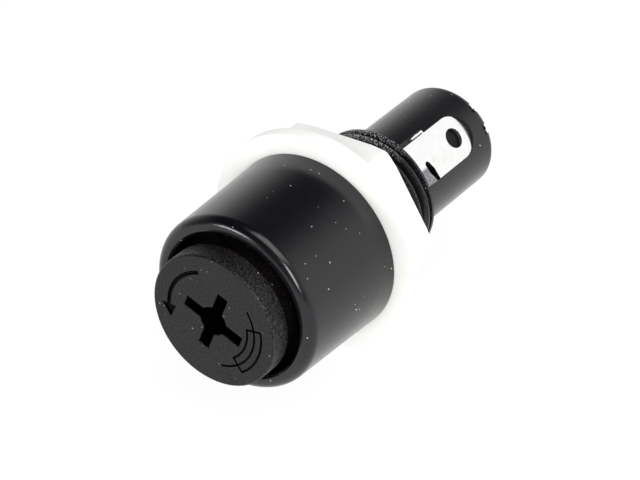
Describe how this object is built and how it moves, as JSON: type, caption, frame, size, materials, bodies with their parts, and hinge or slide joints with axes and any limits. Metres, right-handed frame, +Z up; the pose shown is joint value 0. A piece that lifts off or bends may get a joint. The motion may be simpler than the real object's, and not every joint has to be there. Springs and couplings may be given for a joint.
{
  "type": "cartridge fuse holder",
  "caption": "Panel-mounting holder for a small glass cartridge fuse, with a slotted bayonet knob, a plastic hexagon nut and solder tags.",
  "frame": {"origin": "on the axis, at the rear face of the head, where the front of the panel sits", "axes": "+Y along the axis from the knob towards the rear terminal, +Z up; the side terminal faces up and to the right, 42.5 degrees from +X towards +Z"},
  "size_m": [0.0218, 0.0441, 0.0218],
  "materials": {
    "black_moulding": "satin black moulded thermoset",
    "black_knob": "matte dark grey moulded thermoset",
    "white_nylon": "milky natural nylon",
    "tinned_terminal": "bright tinned brass strip",
    "brass_contact": "plain brass",
    "spring_steel": "bright spring wire",
    "fuse_cap": "nickel-plated",
    "fuse_glass": "clear drawn tube",
    "fuse_wire": "tinned copper wire",
    "solder": "dull solder"
  },
  "bodies": {
    "holder": {"holder_body": "black_moulding", "side_terminal": "tinned_terminal", "end_terminal": "tinned_terminal", "spring_washer": "brass_contact", "terminal_rivet": "tinned_terminal", "rear_contact_spring": "spring_steel"},
    "fuse": {"fuse_glass_tube": "fuse_glass", "fuse_front_cap": "fuse_cap", "fuse_rear_cap": "fuse_cap", "fuse_wire": "fuse_wire", "fuse_front_solder": "solder", "fuse_rear_solder": "solder"},
    "carrier": {"carrier_knob": "black_knob", "carrier_sleeve": "brass_contact"},
    "nut": {"panel_nut": "white_nylon"},
    "rear_contact": {"rear_contact_cup": "brass_contact"}
  },
  "joints": [
    {"name": "carrier_turn", "type": "hinge", "parent": "fuse", "child": "carrier", "pos_m": [0, 0, 0], "axis": [0, -1, 0], "range_deg": [0, 1080]},
    {"name": "fuse_draw", "type": "slide", "parent": "holder", "child": "fuse", "axis": [0, -1, 0], "range_m": [0, 0.024]},
    {"name": "nut_travel", "type": "slide", "parent": "holder", "child": "nut", "axis": [0, 1, 0], "range_m": [0, 0.029]},
    {"name": "rear_contact_press", "type": "slide", "parent": "holder", "child": "rear_contact", "axis": [0, 1, 0], "range_m": [0, 0.0012], "stiffness_N_per_m": 700, "springref_m": -0.002, "deforming": ["rear_contact_spring"]}
  ],
  "couplings": [
    {"joint": "carrier_turn", "follows": "fuse_draw", "rad_per_m": 785.4}
  ]
}
